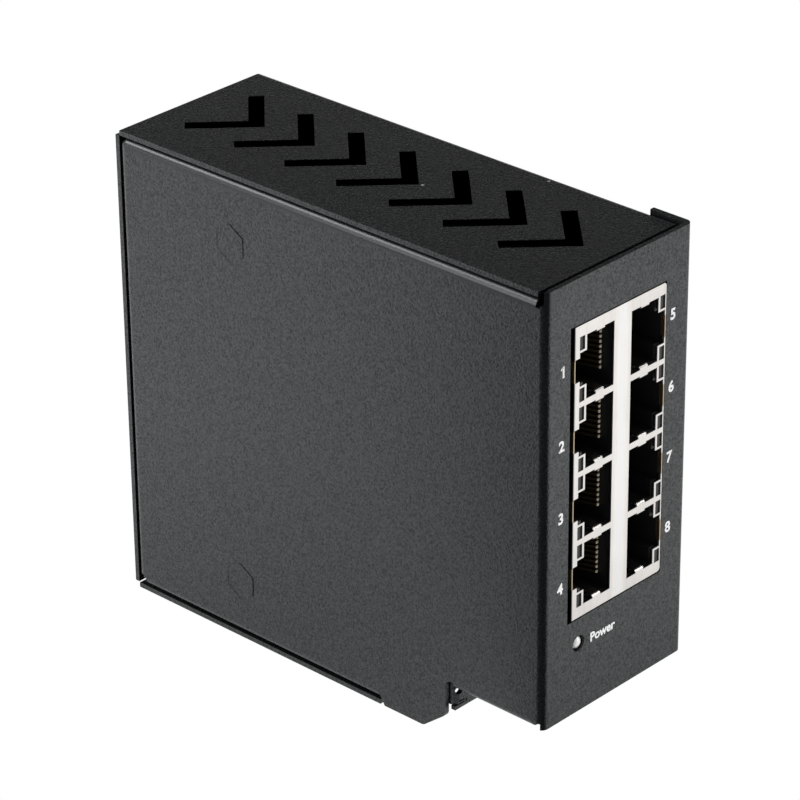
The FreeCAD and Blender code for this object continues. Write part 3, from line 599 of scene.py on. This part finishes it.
def add_flag(piece, height):
    """The flag of the numeral 1: a short stroke down from the top of its stem."""
    low, high = reach_of(piece)
    bpy.ops.object.mode_set(mode="EDIT")
    bpy.ops.mesh.primitive_cube_add(
        size=1.0, location=(low.x - height * 0.08, high.y - height * 0.17, 0),
        rotation=(0, 0, math.radians(38)), scale=(height * 0.32, height * 0.13, sizes().ink_thickness))
    bpy.ops.object.mode_set(mode="OBJECT")


def print_sign(text, height, centre_x, centre_z, name, material):
    """A word or digit of ink that stands upright on the front panel."""
    deselect()
    bpy.ops.object.text_add(location=(0, 0, 0))
    letters = bpy.context.object.data
    letters.body = text
    letters.align_x = "CENTER"
    letters.align_y = "CENTER"
    letters.size = height / CAPITAL_SHARE
    letters.extrude = sizes().ink_thickness / 2
    letters.resolution_u = 6
    letters.offset = height * STROKE_GAIN
    bpy.ops.object.convert(target="MESH")
    piece = bpy.context.object
    if text == "1":
        add_flag(piece, height)
    low, high = reach_of(piece)
    piece.data.transform(Matrix.Translation(-(low + high) / 2))
    piece.rotation_euler = (math.pi / 2, 0, 0)
    piece.location = (centre_x, FRONT_Y - sizes().ink_thickness / 2, centre_z)
    settle(piece, name, material)


# ---- operators -----------------------------------------------------------------------------------
class RailSwitchFinishes(bpy.types.Operator):
    """Builds the shared shader groups and gives the CAD nodes that show their finishes"""

    bl_idname = "rail_switch.finishes"
    bl_label = "Finishes"

    def execute(self, context):
        powder_grain_group()
        dust_group()
        rolled_sheet_group()
        moulded_plastic_group()
        self.case_and_jacks(colours())
        self.inside(colours())
        return {"FINISHED"}

    def case_and_jacks(self, tones):
        dress(["front_cover"], cover_material("powder_coat_cover"))
        dress(["rear_tray"], tray_material("powder_coat"))
        dress(["board_standoffs"], standoff_material("standoff_zinc"))
        dress(["board_screws", "press_nuts", "rail_bracket", "clip_screws", "clock_crystal"],
              metal_material("zinc_plate", tones.zinc, 0.33))
        dress(["case_screws"], coat_material("black_oxide", tones.oxide, 0.35))
        dress(["jack_shield"], shield_material("jack_plate"))
        dress(["jack_housing", "power_light_holder", "rail_latch"],
              plastic_material("black_moulding", tones.moulding, 0.38))
        dress(numbered("port_contacts", 8), contact_material("contact_gold"))
        dress(numbered("port_lights", 8),
              plastic_material("indicator_lens", tones.indicator, 0.5, height=FINE_GRAIN))

    def inside(self, tones):
        dress(["circuit_board"], plastic_material("board_mask", tones.board, 0.35, 1500.0, 0.000003, 0.4))
        dress(["power_inlet"], plastic_material("inlet_green", tones.inlet, 0.4))
        dress(["power_inlet_pins", "switch_chip_leads"], metal_material("tinned_pin", tones.tin, 0.28))
        dress(["switch_chip", "voltage_regulator"] + numbered("magnetics", 4),
              plastic_material("chip_epoxy", tones.epoxy, 0.55, 5000.0))
        dress(["power_inductor"], plastic_material("ferrite", tones.ferrite, 0.5, 2500.0, 0.00002))
        dress(["input_fuse"], plastic_material("fuse_ceramic", tones.fuse, 0.3))
        dress(numbered("capacitor", 2), metal_material("can_aluminium", tones.can, 0.3))


class RailSwitchSpring(bpy.types.Operator):
    """Copies the latch's spring as a piece of its own, in spring wire, and hides the packed spring"""

    bl_idname = "rail_switch.spring"
    bl_label = "Spring"

    def execute(self, context):
        coil = bpy.data.objects.new("coil_spring", NODES["latch_spring"].data.copy())
        context.collection.objects.link(coil)
        wire = metal_material("spring_wire", colours().spring, 0.3)
        settle(coil, "coil_spring", wire)
        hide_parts("latch_spring")
        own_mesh(coil)
        return {"FINISHED"}


class RailSwitchPowerLight(bpy.types.Operator):
    """Builds the power light's lens, whose dome comes flush with the front panel"""

    bl_idname = "rail_switch.power_light"
    bl_label = "Power light"

    def execute(self, context):
        low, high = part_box("power_light")
        centre = (low + high) / 2
        rim = (high.x - low.x) / 2
        deselect()
        bpy.ops.mesh.primitive_circle_add(
            vertices=40, radius=rim, fill_type="NGON", location=(centre.x, high.y, centre.z),
            rotation=(math.pi / 2, 0, 0))
        lens = context.object
        bpy.ops.object.transform_apply(location=True, rotation=True)
        bpy.ops.object.mode_set(mode="EDIT")
        bpy.ops.mesh.select_all(action="SELECT")
        spot, size = high.y, rim
        for next_spot, next_size in self.profile(high.y, rim):
            bpy.ops.mesh.extrude_region_move(TRANSFORM_OT_translate={"value": (0, next_spot - spot, 0)})
            share = next_size / size
            bpy.ops.transform.resize(value=(share, 1, share))
            spot, size = next_spot, next_size
        bpy.ops.mesh.select_all(action="SELECT")
        bpy.ops.mesh.normals_make_consistent(inside=False)
        bpy.ops.object.mode_set(mode="OBJECT")
        bpy.ops.object.shade_smooth_by_angle(angle=math.radians(35))
        lens_white = plastic_material("light_lens", colours().lens, 0.22, height=0.000001, coat=0.5)
        settle(lens, "power_lens", lens_white)
        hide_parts("power_light")
        return {"FINISHED"}

    def profile(self, back, rim):
        """Place along Y and radius of the rim's step and of the dome's rings, from back to front."""
        dome = sizes().lens_radius
        step = back - sizes().lens_rim
        middle = FRONT_Y + sizes().lens_setback + dome
        turns = [math.radians(angle) for angle in range(0, 90, 10)]
        return [(step, rim), (step, dome)] + [
            (middle - dome * math.sin(turn), dome * math.cos(turn)) for turn in turns]


class RailSwitchPrinting(bpy.types.Operator):
    """Prints the port numbers and the power sign on the front panel"""

    bl_idname = "rail_switch.printing"
    bl_label = "Printing"

    def execute(self, context):
        ink = plastic_material("screen_ink", colours().ink, 0.6, 2500.0, 0.00001)
        places = [(LEFT_NUMBERS_X, z) for z in LEFT_NUMBERS_Z]
        places += [(RIGHT_NUMBERS_X, z) for z in RIGHT_NUMBERS_Z]
        for port, (x, z) in enumerate(places, 1):
            print_sign(str(port), sizes().digit_height, x, z, "number_%d" % port, ink)
        print_sign("Power", sizes().word_height, POWER_SIGN_X, POWER_SIGN_Z, "power_sign", ink)
        return {"FINISHED"}


class RailSwitchStage(bpy.types.Operator):
    """Sets the floor, the world, the studio lamps and the camera"""

    bl_idname = "rail_switch.stage"
    bl_label = "Stage"

    def execute(self, context):
        scene = context.scene
        scene.view_settings.view_transform = "Standard"
        deselect()
        bpy.ops.mesh.primitive_plane_add(size=6.0, location=(0, 0, CAD_BOX[0].z))
        floor = context.object
        floor.name = "floor"
        floor.data.materials.append(self.paper())
        self.world(scene)
        for name, place, size, power in LAMPS:
            self.lamp(name, place, size, power)
        self.camera(scene)
        return {"FINISHED"}

    def mirrored_or_seen(self, tree):
        """1 for rays from the camera, from gloss or through glass, and 0 for light that falls on things."""
        rays = tree.nodes.new("ShaderNodeLightPath").outputs
        return chain(tree, "MAXIMUM", rays["Is Camera Ray"], rays["Is Glossy Ray"],
                     rays["Is Transmission Ray"])

    def paper(self):
        """Pale paper under the lamps, white to the camera, and of the card's brightness in reflections."""
        material = bpy.data.materials.new("studio_paper")
        material.use_nodes = True
        tree = material.node_tree
        shader = tree.nodes["Principled BSDF"]
        shader.inputs["Base Color"].default_value = (0.8, 0.8, 0.8, 1.0)
        shader.inputs["Roughness"].default_value = 0.9
        glow = tree.nodes.new("ShaderNodeEmission")
        feed(tree, self.card(tree), glow.inputs["Strength"])
        mix = tree.nodes.new("ShaderNodeMixShader")
        for entry, output in enumerate((self.mirrored_or_seen(tree), shader.outputs[0], glow.outputs[0])):
            feed(tree, output, mix.inputs[entry])
        feed(tree, mix.outputs[0], tree.nodes["Material Output"].inputs["Surface"])
        return material

    def card(self, tree):
        """Brightness of the floor: 1 to the camera, and uneven in reflections and through glass.

        There it is dark in a wedge that opens from the case's front left edge, dim close to the switch,
        to its right and beside its front, and above 1 far ahead of the front and beside the case.
        """
        place = tree.nodes.new("ShaderNodeTexCoord").outputs["Object"]
        out = vector_math(tree, "SUBTRACT", place, (CASE_LEFT, FRONT_Y, 0.0))["Vector"]
        unit = vector_math(tree, "NORMALIZE", out, (0.0, 0.0, 0.0))["Vector"]
        toward = vector_math(tree, "DOT_PRODUCT", unit, WEDGE_WAY)["Value"]
        reach = vector_math(tree, "DISTANCE", place, (0.0, FRONT_Y / 2, 0.0))["Value"]
        x, y, _ = axes(tree, place)
        shade = chain(
            tree, "MULTIPLY",
            ramp(tree, toward, 0.20, 0.40, 1.0, 0.0),
            FLOOR_GAIN,
            ramp(tree, x, 0.05, 0.18, 1.08, 0.70),
            ramp(tree, reach, 0.03, 0.13, 0.68, 1.0),
            ramp(tree, y, -0.26, -0.12, 1.32, 0.72),
            ramp(tree, y, -0.108, -0.090, 1.0, 1.33))
        rays = tree.nodes.new("ShaderNodeLightPath").outputs
        return mix_values(tree, rays["Is Camera Ray"], shade, 1.0)

    def world(self, scene):
        """Even light on things; to the camera and in reflections, white low down and dark overhead."""
        world = bpy.data.worlds.new("studio")
        scene.world = world
        world.use_nodes = True
        tree = world.node_tree
        direction = tree.nodes.new("ShaderNodeTexCoord").outputs["Generated"]
        shown = ramp(tree, axes(tree, direction)[2], 0.02, 0.25, 1.0, 0.045)
        back = tree.nodes["Background"].inputs
        back["Color"].default_value = (1.0, 1.0, 1.0, 1.0)
        feed(tree, mix_values(tree, self.mirrored_or_seen(tree), WORLD_LIGHT, shown), back["Strength"])

    def lamp(self, name, place, size, power):
        deselect()
        bpy.ops.object.light_add(type="AREA", location=place)
        lamp = bpy.context.object
        lamp.name = name
        lamp.data.name = name
        lamp.data.shape = "SQUARE"
        lamp.data.size = size
        lamp.data.energy = power
        aim = Vector(LAMP_AIM) - Vector(place)
        lamp.rotation_euler = aim.to_track_quat("-Z", "Y").to_euler()

    def camera(self, scene):
        deselect()
        bpy.ops.object.camera_add(location=CAMERA_PLACE)
        camera = bpy.context.object
        camera.name = "product_camera"
        turn = Matrix((CAMERA_RIGHT, -CAMERA_DOWN, -CAMERA_AHEAD)).transposed()
        camera.rotation_euler = turn.to_euler()
        camera.data.sensor_width = 36.0
        camera.data.lens = CAMERA_LENS
        camera.data.clip_start = 0.05
        camera.data.clip_end = 20.0
        scene.camera = camera


class RailSwitchPanel(bpy.types.Panel):
    """Lists the steps that dress the switch"""

    bl_idname = "VIEW3D_PT_rail_switch"
    bl_label = "Rail Switch"
    bl_space_type = "VIEW_3D"
    bl_region_type = "UI"
    bl_category = "Rail Switch"

    def draw(self, context):
        for step in STEPS:
            self.layout.operator(step.bl_idname)


STEPS = (RailSwitchFinishes, RailSwitchSpring, RailSwitchPowerLight, RailSwitchPrinting, RailSwitchStage)
CLASSES = (RailSwitchSizes, RailSwitchColours) + STEPS + (RailSwitchPanel,)


def register():
    for item in CLASSES:
        bpy.utils.register_class(item)
    bpy.types.Scene.rail_switch_sizes = bpy.props.PointerProperty(type=RailSwitchSizes)
    bpy.types.Scene.rail_switch_colours = bpy.props.PointerProperty(type=RailSwitchColours)


def unregister():
    del bpy.types.Scene.rail_switch_colours
    del bpy.types.Scene.rail_switch_sizes
    for item in reversed(CLASSES):
        bpy.utils.unregister_class(item)


def main():
    register()
    for step in ("finishes", "spring", "power_light", "printing", "stage"):
        getattr(bpy.ops.rail_switch, step)()


if __name__ == "__main__":
    main()
